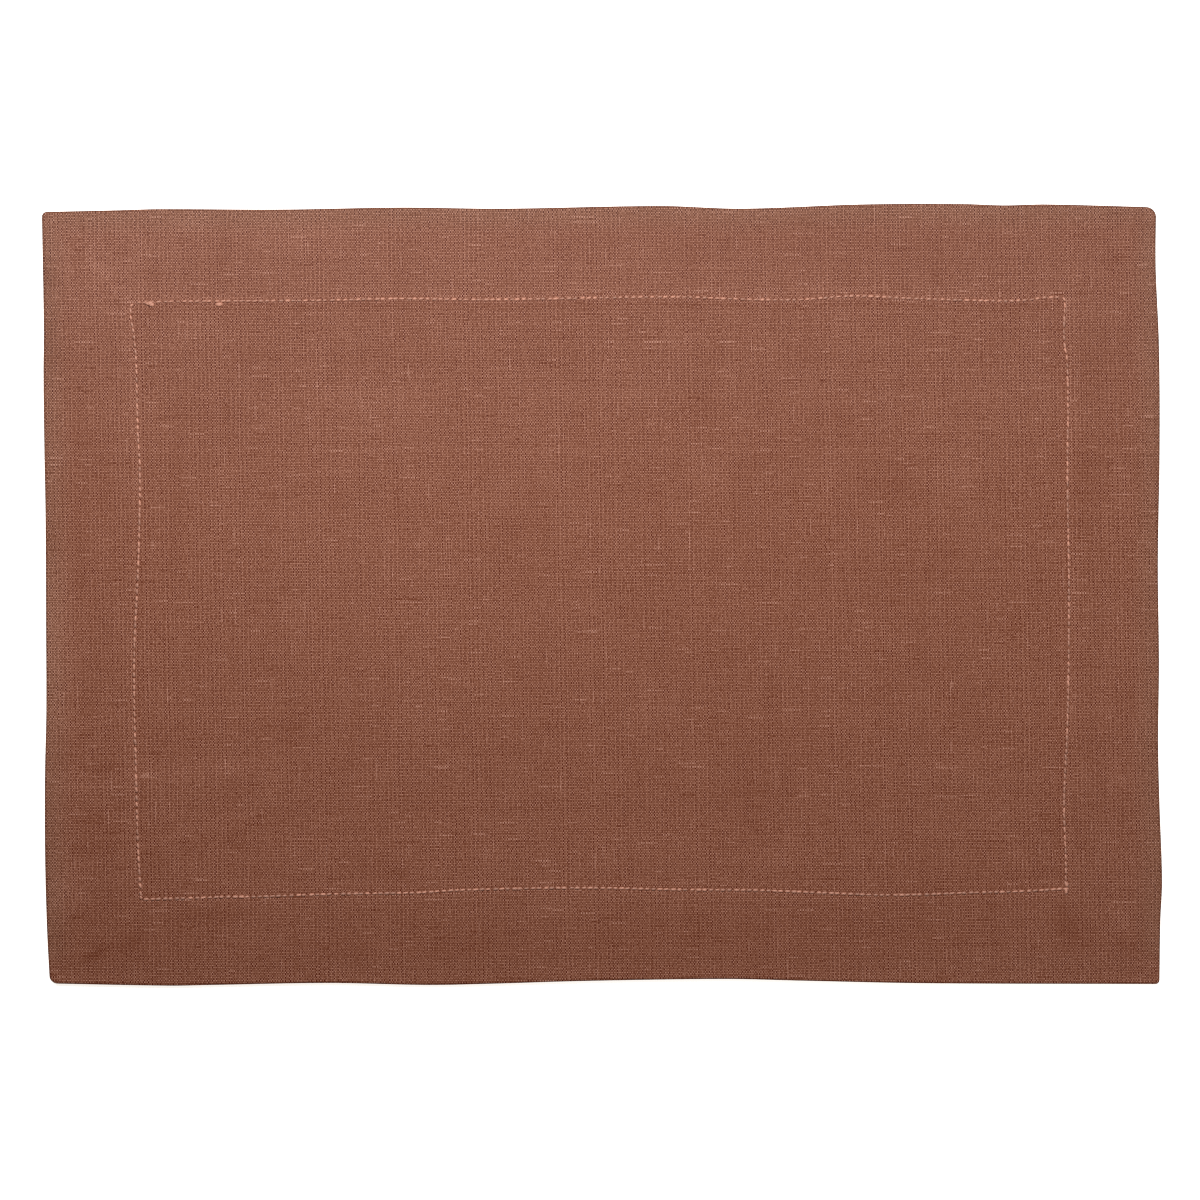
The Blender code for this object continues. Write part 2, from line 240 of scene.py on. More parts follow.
def smooth_step(value):
    """From 0 to 1 as value goes from 0 to 1, level at both ends."""
    value = min(max(value, 0.0), 1.0)
    return value * value * (3.0 - 2.0 * value)


def soft_bump(distance, half_width):
    """1 at no distance, falling smoothly to 0 at half_width."""
    if abs(distance) >= half_width:
        return 0.0
    return (1.0 - (distance / half_width) ** 2) ** 2


def wander_at(rows, along):
    """The smooth curve through a table's rows, level beyond its ends."""
    places = [row.along for row in rows]
    along = min(max(along, places[0]), places[-1])
    after = min(bisect_right(places, along), len(rows) - 1)
    start, end = rows[after - 1], rows[after]
    before = rows[max(after - 2, 0)]
    beyond = rows[min(after + 1, len(rows) - 1)]
    length = end.along - start.along
    part = (along - start.along) / length
    start_slope = (end.out - before.out) / (end.along - before.along)
    end_slope = (beyond.out - start.out) / (beyond.along - start.along)
    rise = smooth_step(part)
    level = start.out * (1.0 - rise) + end.out * rise
    leaving = start_slope * part * (1.0 - part) ** 2
    arriving = end_slope * part**2 * (1.0 - part)
    return level + length * (leaving - arriving)


def stray(low_side, high_side, along, across, half):
    """How far a place moves across the mat, as the two sides facing each other pull it."""
    sewn = half - HEM_WIDTH
    if abs(across) < sewn:
        share = (across + sewn) / (2.0 * sewn)
        pull_up = wander_at(high_side.sewn, along)
        pull_down = wander_at(low_side.sewn, along)
        return pull_up * share - pull_down * (1.0 - share)
    side = high_side if across > 0 else low_side
    share = (abs(across) - sewn) / HEM_WIDTH
    pull = wander_at(side.edge, along) * share + wander_at(side.sewn, along) * (1.0 - share)
    return math.copysign(1.0, across) * pull


def rounded(x, y):
    """The place (x, y) of a true rectangle, drawn in where its corner is rounded."""
    signs = (1 if x > 0 else -1, 1 if y > 0 else -1)
    radius = CORNER_RADIUS[signs]
    centre_x = HALF_LENGTH - radius
    centre_y = HALF_WIDTH - radius
    past_x = abs(x) - centre_x
    past_y = abs(y) - centre_y
    if past_x <= 0 or past_y <= 0:
        return x, y
    if past_x >= past_y:
        reach = past_x
        angle = math.pi / 4 * past_y / past_x
    else:
        reach = past_y
        angle = math.pi / 2 - math.pi / 4 * past_x / past_y
    return (
        signs[0] * (centre_x + reach * math.cos(angle)),
        signs[1] * (centre_y + reach * math.sin(angle)),
    )


def plan(x, y):
    """Where the place (x, y) of the true rectangle lies on the real, uneven mat."""
    round_x, round_y = rounded(x, y)
    return (
        round_x + stray(LEFT, RIGHT, y, x, HALF_LENGTH),
        round_y + stray(FRONT, BACK, x, y, HALF_WIDTH),
    )


def crease_lift(x, y):
    """How far the creases raise the face at the true place (x, y)."""
    lift = 0.0
    for crease in CREASES:
        run_x = crease.x2 - crease.x1
        run_y = crease.y2 - crease.y1
        length = math.hypot(run_x, run_y)
        along = ((x - crease.x1) * run_x + (y - crease.y1) * run_y) / length
        aside = ((y - crease.y1) * run_x - (x - crease.x1) * run_y) / length
        past_end = max(-along, along - length, 0.0)
        half_width = crease.left if aside > 0 else crease.right
        lift += crease.height * soft_bump(math.hypot(aside / half_width, past_end / CREASE_END), 1.0)
    return lift


def fold_lift(inset):
    """How far the cloth stands off the table, this far in from the edge."""
    return FOLD_LIFT * (1.0 - smooth_step(inset / FLAT_FROM))


def in_from_edges(x, y):
    """How far in the true place (x, y) lies from the nearer end, and from the nearer long side."""
    return HALF_LENGTH - abs(x), HALF_WIDTH - abs(y)


def face_height(x, y):
    """Height of the middle of the face's layer above the table, at the true place (x, y)."""
    edge_x, edge_y = in_from_edges(x, y)
    inset = min(edge_x, edge_y)
    past_row = inset - HEM_WIDTH
    stepped = smooth_step((past_row - HEM_TAIL) / HEM_STEP)
    eased = smooth_step((past_row - HEM_TAIL) / HEM_SLOPE)
    on_hem = 1.0 - STEP_SHARE * stepped - (1.0 - STEP_SHARE) * eased
    height = FACE_LEVEL + LAYER_STEP * on_hem + fold_lift(inset)
    height -= SEWN_TROUGH * soft_bump(past_row, TROUGH_HALF_WIDTH)
    clear = smooth_step(inset / CLEAR_OF_EDGE - 0.5)
    off_mitre = (edge_x - edge_y) / math.sqrt(2.0)
    in_corner = smooth_step((HEM_WIDTH - max(edge_x, edge_y)) / MITRE_HALF_WIDTH)
    height += MITRE_RIDGE * clear * in_corner * soft_bump(off_mitre, MITRE_HALF_WIDTH)
    return height + clear * crease_lift(x, y)


def turned_height(x, y):
    """Height of the middle of the turned layer, grooved along each mitre's seam and the sewn row."""
    edge_x, edge_y = in_from_edges(x, y)
    inset = min(edge_x, edge_y)
    off_mitre = (edge_x - edge_y) / math.sqrt(2.0)
    begun = smooth_step((inset - FOLD_START) / MITRE_GROOVE_RISE)
    seam = MITRE_GROOVE * begun * soft_bump(off_mitre, MITRE_GROOVE_HALF_WIDTH)
    sewn = SEWN_GROOVE * soft_bump(inset - HEM_WIDTH, SEWN_GROOVE_HALF_WIDTH)
    return FACE_LEVEL + fold_lift(inset) + max(seam, sewn)


def tone_and_painted_light_at(x, y):
    """How light the cloth is at the true place (x, y): 1, and more or less in a blot, with its painted
    light and shade.
    """
    tone = 1.0
    for blot in TONE_AND_PAINTED_LIGHT_BLOTS:
        cos = math.cos(math.radians(blot.turned))
        sin = math.sin(math.radians(blot.turned))
        along = (x - blot.x) * cos + (y - blot.y) * sin
        aside = (y - blot.y) * cos - (x - blot.x) * sin
        near = soft_bump(math.hypot(along / blot.half_length, aside / blot.half_width), 1.0)
        tone += blot.lighter * near
    return tone


# ---------------------------------------------------------------- the cloth, as one sheet


def mesh_lines(half):
    """The mesh's lines from side to side, close together on the hem and about the row."""
    border = [half - inset for inset in (FOLD_START, *HEM_LINES, *ROW_LINES)]
    steps = 2 * math.ceil(border[-1] / FIELD_PITCH)
    field = [border[-1] * (2.0 * step / steps - 1.0) for step in range(1, steps)]
    return [-line for line in border] + field + border[::-1]


class Spot(NamedTuple):
    """One point of the sheet: its true place, and how far it lies past the start of the fold."""

    x: float
    y: float
    start: tuple  # where the fold begins, as it really lies
    run: float  # along the cloth, from there


def add_face(mesh):
    """The face's layer, up to where the outer fold begins, and a spot for each of its points."""
    columns = mesh_lines(HALF_LENGTH)
    rows = mesh_lines(HALF_WIDTH)
    x_steps = len(columns) - 1
    y_steps = len(rows) - 1
    grid = bmesh.ops.create_grid(mesh, x_segments=x_steps, y_segments=y_steps, size=0.5)
    spots = {}
    for point in grid["verts"]:
        x = columns[round((point.co.x + 0.5) * x_steps)]
        y = rows[round((point.co.y + 0.5) * y_steps)]
        lies = plan(x, y)
        spots[point] = Spot(x, y, lies, 0.0)
        point.co = (*lies, face_height(x, y))
    return spots


def hem_stations():
    """(in from the edge, height above the turned layer, along the cloth from the fold's start)."""
    stations = []
    for step in range(1, FOLD_STEPS + 1):
        angle = math.pi * step / FOLD_STEPS
        inset = FOLD_START - FOLD_RADIUS * math.sin(angle)
        stations.append((inset, FOLD_RADIUS * (1.0 + math.cos(angle)), FOLD_RADIUS * angle))
    round_fold = FOLD_RADIUS * math.pi
    for inset in TURNED_LINES:
        stations.append((inset, 0.0, round_fold + inset - FOLD_START))
    return stations


def add_hem(mesh, spots):
    """Carries the rim of the face round the outer fold and back under it, line by line."""
    rim = [edge for edge in mesh.edges if edge.is_boundary]
    last_inset = FOLD_START
    last = spots
    for inset, above, run in hem_stations():
        shrink_x = (HALF_LENGTH - inset) / (HALF_LENGTH - last_inset)
        shrink_y = (HALF_WIDTH - inset) / (HALF_WIDTH - last_inset)
        ring = bmesh.ops.extrude_edge_only(mesh, edges=rim)["geom"]
        rim = [item for item in ring if isinstance(item, bmesh.types.BMEdge)]
        points = [item for item in ring if isinstance(item, bmesh.types.BMVert)]
        new = {}
        for point in points:
            neighbours = [edge.other_vert(point) for edge in point.link_edges]
            before = next(last[neighbour] for neighbour in neighbours if neighbour in last)
            x = before.x * shrink_x
            y = before.y * shrink_y
            new[point] = Spot(x, y, before.start, run)
            point.co = (*plan(x, y), turned_height(x, y) + above)
        spots.update(new)
        last = new
        last_inset = inset


def side_of(face, spots):
    """Which way the hem at this face was turned: its direction out of the mat."""
    count = len(face.verts)
    x = sum(spots[point].x for point in face.verts) / count
    y = sum(spots[point].y for point in face.verts) / count
    edge_x, edge_y = in_from_edges(x, y)
    if edge_x < edge_y:
        return (math.copysign(1.0, x), 0.0)
    return (0.0, math.copysign(1.0, y))


def lay_threads(mesh, spots):
    """Two maps in metres: the cloth as it was cut and woven, and the true rectangle of the mat."""
    cut = mesh.loops.layers.uv["cut"]
    mat = mesh.loops.layers.uv["mat"]
    for face in mesh.faces:
        out = side_of(face, spots)
        for loop in face.loops:
            spot = spots[loop.vert]
            lies = loop.vert.co
            if spot.run == 0.0:
                woven = (lies.x, lies.y)
            elif out[0]:
                woven = (spot.start[0] + out[0] * spot.run, lies.y)
            else:
                woven = (lies.x, spot.start[1] + out[1] * spot.run)
            loop[cut].uv = (woven[0] * MM, woven[1] * MM)
            loop[mat].uv = (spot.x * MM, spot.y * MM)


class Patch(NamedTuple):
    """A part of the bake map, and how much of the cut cloth it holds, in metres."""

    left: float
    low: float
    width: float
    height: float
    cloth_length: float
    cloth_width: float


FACE_PATCH = Patch(0.002, 0.292, 0.996, 0.706, 0.511, 0.360)
TURNED_PATCH = Patch(0.505, 0.002, 0.493, 0.284, 0.596, 0.446)
INNER_PATCH = Patch(0.002, 0.002, 0.493, 0.284, 0.596, 0.446)
CUT_EDGE_PATCH = Patch(0.560, 0.070, 0.380, 0.150, 0.596, 0.446)
STRIPS = 4  # of the cut edge, one for each side of the mat
STRIP_SIDES = (0.3, 0.7)  # where a strip's two long sides lie in its share of the patch
FACES_DOWN = -0.5  # a normal's height, below which it is on the turned hem


def lay_bake_map(mesh, face_count, point_count):
    """A map for baking, with a spot for each place: those of the mat's face large, the rest small."""
    loops = len(mesh.loops)
    cut = np.empty(loops * 2, dtype=np.float32)
    mesh.uv_layers["cut"].data.foreach_get("uv", cut)
    cut = cut.reshape(loops, 2)
    spot = np.empty_like(cut)
    for face in mesh.polygons:
        corners = slice(face.loop_start, face.loop_start + face.loop_total)
        if face.index >= 2 * face_count:
            spot[corners] = cut_edge_spots(mesh, face, cut[corners], point_count)
            continue
        if face.index >= face_count:
            patch = INNER_PATCH
        elif face.normal.z < FACES_DOWN:
            patch = TURNED_PATCH
        else:
            patch = FACE_PATCH
        spot[corners, 0] = patch.left + patch.width * (cut[corners, 0] / patch.cloth_length + 0.5)
        spot[corners, 1] = patch.low + patch.height * (cut[corners, 1] / patch.cloth_width + 0.5)
    mesh.uv_layers.new(name="OFBake").data.foreach_set("uv", spot.ravel())


def cut_edge_spots(mesh, face, cut, point_count):
    """Spots for a face of the cloth's thin cut edge, on the strip for its side of the mat."""
    patch = CUT_EDGE_PATCH
    lengthwise = np.ptp(cut[:, 0]) > np.ptp(cut[:, 1])
    far = cut[:, 1 if lengthwise else 0].mean() > 0.0
    strip = (2 if lengthwise else 0) + (1 if far else 0)
    along = cut[:, 0] / patch.cloth_length if lengthwise else cut[:, 1] / patch.cloth_width
    inner = [mesh.loops[corner].vertex_index >= point_count for corner in face.loop_indices]
    across = (strip + np.where(inner, STRIP_SIDES[1], STRIP_SIDES[0])) / STRIPS
    return np.column_stack(
        (patch.left + patch.width * (along + 0.5), patch.low + patch.height * across)
    )


def woven_cloth():
    """The whole cloth: its face, the fold all round and the turned layer, given its thickness."""
    sheet = bmesh.new()
    for name in ("cut", "mat"):
        sheet.loops.layers.uv.new(name)
    tone = sheet.verts.layers.float.new("tone")
    spots = add_face(sheet)
    add_hem(sheet, spots)
    lay_threads(sheet, spots)
    # the tone attribute carries the blots: painted light and shade, and tone that differs at random
    for point, spot in spots.items():
        point[tone] = tone_and_painted_light_at(spot.x, spot.y)
    bmesh.ops.scale(sheet, vec=(MM, MM, MM), verts=sheet.verts)
    mesh = bpy.data.meshes.new("linen_cloth")
    sheet.to_mesh(mesh)
    sheet.free()
    mesh.shade_smooth()
    cloth = add_object("linen_cloth", mesh)
    sheet_size = (len(mesh.polygons), len(mesh.vertices))
    thicken(cloth)
    lay_bake_map(cloth.data, *sheet_size)
    cloth.data.materials.append(linen_material())
    return cloth


def add_object(name, data):
    new = bpy.data.objects.new(name, data)
    bpy.context.scene.collection.objects.link(new)
    return new


def pick_nothing():
    bpy.ops.object.select_all(action="DESELECT")


def thicken(cloth):
    """Gives the sheet its thickness, half of it to each side."""
    pick_nothing()
    cloth.select_set(True)
    bpy.context.view_layer.objects.active = cloth
    modifier = cloth.modifiers.new("thickness", "SOLIDIFY")
    modifier.thickness = CLOTH_THICKNESS * MM
    modifier.offset = 0.0
    bpy.ops.object.modifier_apply(modifier=modifier.name)


# ---------------------------------------------------------------- the sewn row


class Row(NamedTuple):
    """One side's row of stitches, from and to in the true rectangle."""

    x1: float
    y1: float
    x2: float
    y2: float
    pitch: float
    length: float  # of a stitch, as a share of the pitch
    thickness: float


SEWN_X = HALF_LENGTH - HEM_WIDTH
SEWN_Y = HALF_WIDTH - HEM_WIDTH
ROWS = (
    Row(-SEWN_X + 2.6, SEWN_Y, SEWN_X - 2.0, SEWN_Y, pitch=2.86, length=0.93, thickness=1.02),
    Row(SEWN_X, SEWN_Y - 2.2, SEWN_X, -SEWN_Y + 0.5, pitch=3.0, length=1.04, thickness=0.95),
    Row(SEWN_X - 1.4, -SEWN_Y, -SEWN_X + 0.5, -SEWN_Y, pitch=2.87, length=0.94, thickness=1.02),
    Row(-SEWN_X, -SEWN_Y + 1.4, -SEWN_X, SEWN_Y - 1.8, pitch=3.05, length=0.99, thickness=0.98),
)
THREAD_RADIUS = 0.35
FACE_SIDE = 1
UNDER_SIDE = -1
STITCH_HEIGHT = {FACE_SIDE: 0.62, UNDER_SIDE: 0.19}  # for a unit of the pattern's height
FIRST_STITCH = {FACE_SIDE: 0.5, UNDER_SIDE: 1.0}  # pitches from the row's beginning
SEEDS = {FACE_SIDE: 7, UNDER_SIDE: 8}
EXTRA_SEED = 9
ASTRAY = 0.14  # the most that a stitch comes early or late, in shares of the pitch
SLANT = 6.0  # degrees, and how much that varies
SLANT_SPREAD = 3.0
LENGTHS = (0.85, 1.15)  # shares of the row's usual length, the shortest and the longest
THICKNESSES = (0.8, 1.17)
EXTRA_SHADES = (0.6, 1.0)


class Stitch(NamedTuple):
    """A stitch that lies apart from the rows, as it really lies: a knot, a turn or an overshoot."""

    x1: float
    y1: float
    x2: float
    y2: float
    thickness: float
    raised: float


EXTRA_STITCHES = (
    # the rounded turn at the back left corner
    Stitch(-211.6, 129.0, -209.9, 130.6, thickness=1.0, raised=0.0),
    # the turn at the back right corner
    Stitch(206.5, 133.4, 207.9, 131.3, thickness=1.0, raised=0.12),
    # the two knots beside the back row
    Stitch(-204.0, 130.5, -200.6, 130.7, thickness=1.9, raised=0.1),
    Stitch(-203.0, 129.9, -200.2, 130.0, thickness=1.6, raised=0.3),
    Stitch(-204.6, 130.9, -202.4, 130.1, thickness=1.3, raised=0.4),
    Stitch(-173.4, 130.1, -169.4, 130.3, thickness=1.5, raised=0.1),
    Stitch(-172.7, 129.8, -170.0, 130.0, thickness=1.2, raised=0.3),
    # the crossing at the front right corner
    Stitch(208.1, -128.7, 208.5, -131.4, thickness=1.5, raised=0.1),
    Stitch(206.6, -131.9, 209.7, -131.6, thickness=0.95, raised=0.1),
    Stitch(208.0, -131.6, 208.0, -134.6, thickness=1.25, raised=0.2),
    # the turn at the front left corner
    Stitch(-207.0, -135.0, -206.0, -136.6, thickness=1.0, raised=0.0),
)


class Ring(NamedTuple):
    """The next ring of the stitch: how far on and how far up from the last, and how much wider."""

    forward: float
    up: float
    wider: float


STITCH_LENGTH = 2.45
STITCH_SIDES = 6
STITCH_START = -0.42  # height of the first ring, inside the cloth
STITCH_RADIUS = 0.55
STITCH_RINGS = (
    Ring(0.22, 0.34, wider=1.5),
    Ring(0.38, 0.2, wider=1.2),
    Ring(0.9, 0.04, wider=1.0),
    Ring(0.38, -0.2, wider=0.84),
    Ring(0.27, -0.38, wider=0.66),
)
HALF_STRAIGHT = 0.36  # share of its length, to both sides of its middle, that gives its direction


def one_stitch():
    """One stitch along X: a short thread that rises out of the cloth, lies over it and dives back."""
    pick_nothing()
    bpy.ops.mesh.primitive_circle_add(
        vertices=STITCH_SIDES, radius=STITCH_RADIUS, fill_type="NGON",
        location=(-STITCH_LENGTH / 2, 0.0, STITCH_START), rotation=(0.0, math.radians(-90.0), 0.0),
    )
    stitch = bpy.context.object
    stitch.name = "one_stitch"
    bpy.ops.object.transform_apply(location=True, rotation=True, scale=True)
    bpy.ops.object.mode_set(mode="EDIT")
    bpy.ops.mesh.select_all(action="SELECT")
    for forward, up, wider in STITCH_RINGS:
        bpy.ops.mesh.extrude_region_move(TRANSFORM_OT_translate={"value": (forward, 0.0, up)})
        bpy.ops.transform.resize(value=(1.0, wider, wider))
    bpy.ops.mesh.select_all(action="SELECT")
    bpy.ops.mesh.normals_make_consistent(inside=False)
    bpy.ops.object.mode_set(mode="OBJECT")
    return stitch


class Placing(NamedTuple):
    """Where a stitch lies: its middle, the way it runs, its length, its thickness and its shade."""

    middle: tuple
    along: tuple
    length: float
    thickness: float
    shade: float


def row_placings(side):
    """The stitches of the four rows, on the face or on the underside."""
    chance = random.Random(SEEDS[side])
    placings = []
    for row in ROWS:
        length = math.hypot(row.x2 - row.x1, row.y2 - row.y1)
        count = round(length / row.pitch)
        step_x = (row.x2 - row.x1) / count
        step_y = (row.y2 - row.y1) / count
        half = HALF_STRAIGHT * STITCH_LENGTH / math.hypot(step_x, step_y)
        for number in range(count):
            middle = number + FIRST_STITCH[side] + chance.uniform(-ASTRAY, ASTRAY)
            first = plan(row.x1 + step_x * (middle - half), row.y1 + step_y * (middle - half))
            last = plan(row.x1 + step_x * (middle + half), row.y1 + step_y * (middle + half))
            at = (row.x1 + step_x * middle, row.y1 + step_y * middle)
            slant = math.radians(chance.gauss(SLANT, SLANT_SPREAD)) * side
            way = math.atan2(last[1] - first[1], last[0] - first[0]) + slant
            placings.append(
                Placing(
                    (*plan(*at), row_height(at, side)),
                    (math.cos(way), math.sin(way)),
                    row.length * row.pitch / STITCH_LENGTH * chance.uniform(*LENGTHS),
                    row.thickness * chance.uniform(*THICKNESSES),
                    chance.random(),
                )
            )
    return placings


def row_height(at, side):
    """Height of the cloth's surface that a stitch lies on."""
    if side == FACE_SIDE:
        return face_height(*at) + CLOTH_THICKNESS / 2
    return FOOT + SEWN_GROOVE


def extra_placings():
    """The stitches that lie apart from the rows."""
    chance = random.Random(EXTRA_SEED)
    placings = []
    for extra in EXTRA_STITCHES:
        middle = ((extra.x1 + extra.x2) / 2, (extra.y1 + extra.y2) / 2)
        reach = math.hypot(extra.x2 - extra.x1, extra.y2 - extra.y1)
        placings.append(
            Placing(
                (*middle, row_height(middle, FACE_SIDE) + extra.raised),
                ((extra.x2 - extra.x1) / reach, (extra.y2 - extra.y1) / reach),
                reach / STITCH_LENGTH,
                extra.thickness,
                chance.uniform(*EXTRA_SHADES),
            )
        )
    return placings


def lay_stitch(shape, placing, side):
    """The pattern's points where a placing puts them, and their places along and across the thread."""
    forward = shape[:, 0] * placing.length
    sideways = shape[:, 1] * (THREAD_RADIUS * placing.thickness) / STITCH_RADIUS * side
    up = shape[:, 2] * side * (STITCH_HEIGHT[side] * placing.thickness)
    cos, sin = placing.along
    x = placing.middle[0] + forward * cos - sideways * sin
    y = placing.middle[1] + forward * sin + sideways * cos
    return np.column_stack((x, y, placing.middle[2] + up)), np.column_stack((forward, sideways))


def sew(name, placings, side):
    """Copies the one stitch to each placing and joins the copies in one piece."""
    pattern = one_stitch()
    shape = np.array([tuple(point.co) for point in pattern.data.vertices])
    faces = [tuple(face.vertices) for face in pattern.data.polygons]
    corners = np.concatenate(faces)
    bpy.data.objects.remove(pattern)
    points = []
    threads = []
    all_faces = []
    for number, placing in enumerate(placings):
        lies, thread = lay_stitch(shape, placing, side)
        points.append(lies)
        threads.append(thread[corners])
        first = number * len(shape)
        all_faces.extend(tuple(first + corner for corner in face) for face in faces)
    mesh = bpy.data.meshes.new(name)
    mesh.from_pydata((np.vstack(points) * MM).tolist(), [], all_faces)
    thread_map = mesh.uv_layers.new(name="thread")
    thread_map.data.foreach_set("uv", np.vstack(threads).astype(np.float32).ravel() * MM)
    shades = np.repeat([placing.shade for placing in placings], len(shape))
    shade = mesh.attributes.new("shade", "FLOAT", "POINT")
    shade.data.foreach_set("value", shades.astype(np.float32))
    mesh.shade_smooth()
    piece = add_object(name, mesh)
    piece.data.materials.append(thread_material())
    return piece


# ---------------------------------------------------------------- materials


class Recipe:
    """The nodes of one material."""

    def __init__(self, name):
        self.material = bpy.data.materials.new(name)
        self.material.use_nodes = True
        self.nodes = self.material.node_tree.nodes
        self.links = self.material.node_tree.links
        self.shader = self.nodes["Principled BSDF"]

    def feed(self, socket, value):
        if isinstance(value, bpy.types.NodeSocket):
            self.links.new(value, socket)
        else:
            socket.default_value = value

    def sum(self, operation, *values):
        node = self.nodes.new("ShaderNodeMath")
        node.operation = operation
        for socket, value in zip(node.inputs, values):
            self.feed(socket, value)
        return node.outputs[0]

    def add(self, first, second):
        return self.sum("ADD", first, second)

    def less(self, first, second):
        return self.sum("SUBTRACT", first, second)

    def times(self, first, second):
        return self.sum("MULTIPLY", first, second)

    def soft(self, value, low, high, to_low=0.0, to_high=1.0):
        """From to_low to to_high, as an S, while value goes from low to high."""
        node = self.nodes.new("ShaderNodeMapRange")
        node.interpolation_type = "SMOOTHSTEP"
        for socket, number in zip(node.inputs, (value, low, high, to_low, to_high)):
            self.feed(socket, number)
        return node.outputs[0]

    def more(self, tone, value, contrast):
        """tone, and value as strongly as contrast says."""
        return self.sum("MULTIPLY_ADD", value, contrast, tone)

    def spread(self, value, low, high):
        """A random value from 0 to 1, spread from low to high."""
        return self.sum("MULTIPLY_ADD", value, high - low, low)

    def map(self, name):
        """The two coordinates of one of the piece's own maps, in millimetres."""
        node = self.nodes.new("ShaderNodeUVMap")
        node.uv_map = name
        apart = self.nodes.new("ShaderNodeSeparateXYZ")
        self.links.new(node.outputs[0], apart.inputs[0])
        return self.times(apart.outputs[0], 1.0 / MM), self.times(apart.outputs[1], 1.0 / MM)

    def attribute(self, name):
        node = self.nodes.new("ShaderNodeAttribute")
        node.attribute_name = name
        return node.outputs["Fac"]

    def place(self, x, y, z=0.0):
        node = self.nodes.new("ShaderNodeCombineXYZ")
        for socket, value in zip(node.inputs, (x, y, z)):
            self.feed(socket, value)
        return node.outputs[0]

    def noise(self, x, y, z, lumps=(1.0, 1.0), detail=1.0):
        """Soft noise, with so many lumps to a unit of x and to a unit of y."""
        node = self.nodes.new("ShaderNodeTexNoise")
        node.inputs["Scale"].default_value = 1.0
        node.inputs["Detail"].default_value = detail
        place = self.place(self.times(x, lumps[0]), self.times(y, lumps[1]), z)
        self.links.new(place, node.inputs["Vector"])
        return node.outputs[0]

    def chance(self, x, y=0.0, z=0.0):
        """A random number for each whole x, y and z."""
        node = self.nodes.new("ShaderNodeTexWhiteNoise")
        node.noise_dimensions = "3D"
        self.feed(node.inputs["Vector"], self.place(x, y, z))
        return node.outputs[0]

    def pick(self, share, first, second):
        """A number between two."""
        node = self.nodes.new("ShaderNodeMix")
        self.feed(node.inputs[0], share)
        self.feed(node.inputs[2], first)
        self.feed(node.inputs[3], second)
        return node.outputs[0]

    def tone(self, share, first, second):
        """A colour between two."""
        node = self.nodes.new("ShaderNodeMix")
        node.data_type = "RGBA"
        self.feed(node.inputs[0], share)
        self.feed(node.inputs[6], first)
        self.feed(node.inputs[7], second)
        return node.outputs[2]

    def ramp(self, share, colours):
        """A colour that runs through those of a table, each at its own share."""
        node = self.nodes.new("ShaderNodeValToRGB")
        most = max(colours)
        stops = node.color_ramp.elements
        for place, colour in colours.items():
            if place in (0.0, most):
                stop = stops[0 if place == 0.0 else -1]
            else:
                stop = stops.new(place / most)
            stop.color = (*colour, 1.0)
        self.links.new(self.times(share, 1.0 / most), node.inputs[0])
        return node.outputs[0]

    def shade(self, colour, factor):
        """The colour, lighter or darker by factor."""
        node = self.nodes.new("ShaderNodeVectorMath")
        node.operation = "SCALE"
        self.feed(node.inputs[0], colour)
        self.feed(node.inputs["Scale"], factor)
        return node.outputs[0]

    def tint(self, colour, share, added):
        """The colour with a share of another added."""
        node = self.nodes.new("ShaderNodeVectorMath")
        node.operation = "MULTIPLY_ADD"
        for socket, value in zip(node.inputs, (added, share, colour)):
            self.feed(socket, value)
        return node.outputs[0]

    def finish(self, colour, roughness):
        self.feed(self.shader.inputs["Base Color"], colour)
        self.feed(self.shader.inputs["Roughness"], roughness)
        return self.material

    def bump(self, height, distance, strength):
        """Makes height, from 0 to 1, stand so many millimetres high."""
        node = self.nodes.new("ShaderNodeBump")
        node.inputs["Strength"].default_value = strength
        node.inputs["Distance"].default_value = distance * MM
        self.feed(node.inputs["Height"], height)
        self.links.new(node.outputs[0], self.shader.inputs["Normal"])


class Weave(NamedTuple):
    """One set of threads of the linen, in millimetres."""

    pitch: float  # from thread to thread
    lean: float  # how far the threads lean, for each millimetre along them
    swing: float  # how far they stray from straight
    crowd: float  # how unevenly they are spaced
    thin: float  # half width of the thinnest thread, as a share of the pitch
    thick: float
    contrast: float  # between threads side by side
    slub_length: float
    slub_from: float  # noise level where a thick place begins
    reed: float  # from dent to dent of the reed, whose marks show along the threads; 0 for none
    seed: float


WARP = Weave(
    pitch=0.584, lean=0.0175, swing=1.3, crowd=0.20, thin=0.44, thick=0.50, contrast=0.40,
    slub_length=18.0, slub_from=0.70, reed=1.93, seed=11.0,
)
WEFT = Weave(
    pitch=0.736, lean=0.0, swing=1.5, crowd=0.60, thin=0.46, thick=0.53, contrast=0.13,
    slub_length=16.0, slub_from=0.675, reed=0.0, seed=29.0,
)

# how much lighter or darker, about a tone of 1
STREAK_CONTRAST = 0.34  # along a thread
TURN_CONTRAST = 0.65  # between even and odd threads
BAND_CONTRAST = 0.185  # between wide groups of threads
PATCH_CONTRAST = 0.12  # between wide patches of the cloth
SLUB_LIGHT = 0.46
SLUB_SHADE = 0.33  # beside a slub of the next thread
SLUB_BELOW = 0.2  # a thick thread shows beside the one that crosses it
THIN_DARK = 0.45
REED_CONTRAST = 0.26
CROSSING_CONTRAST = 0.79  # between crossings
OVER_CONTRAST = 0.4  # the weft, across the light, looks lighter than the warp: painted light on the weft, painted shade on the warp
RELIEF_CONTRAST = 1.22  # and here more so, there less
NEIGHBOUR_SHARE = 0.14  # of each neighbour's chance, taken from a crossing's own
UNLIKE_MIDDLE = 0.22  # what is then left of it on the average
FIBRE_CONTRAST = 0.46

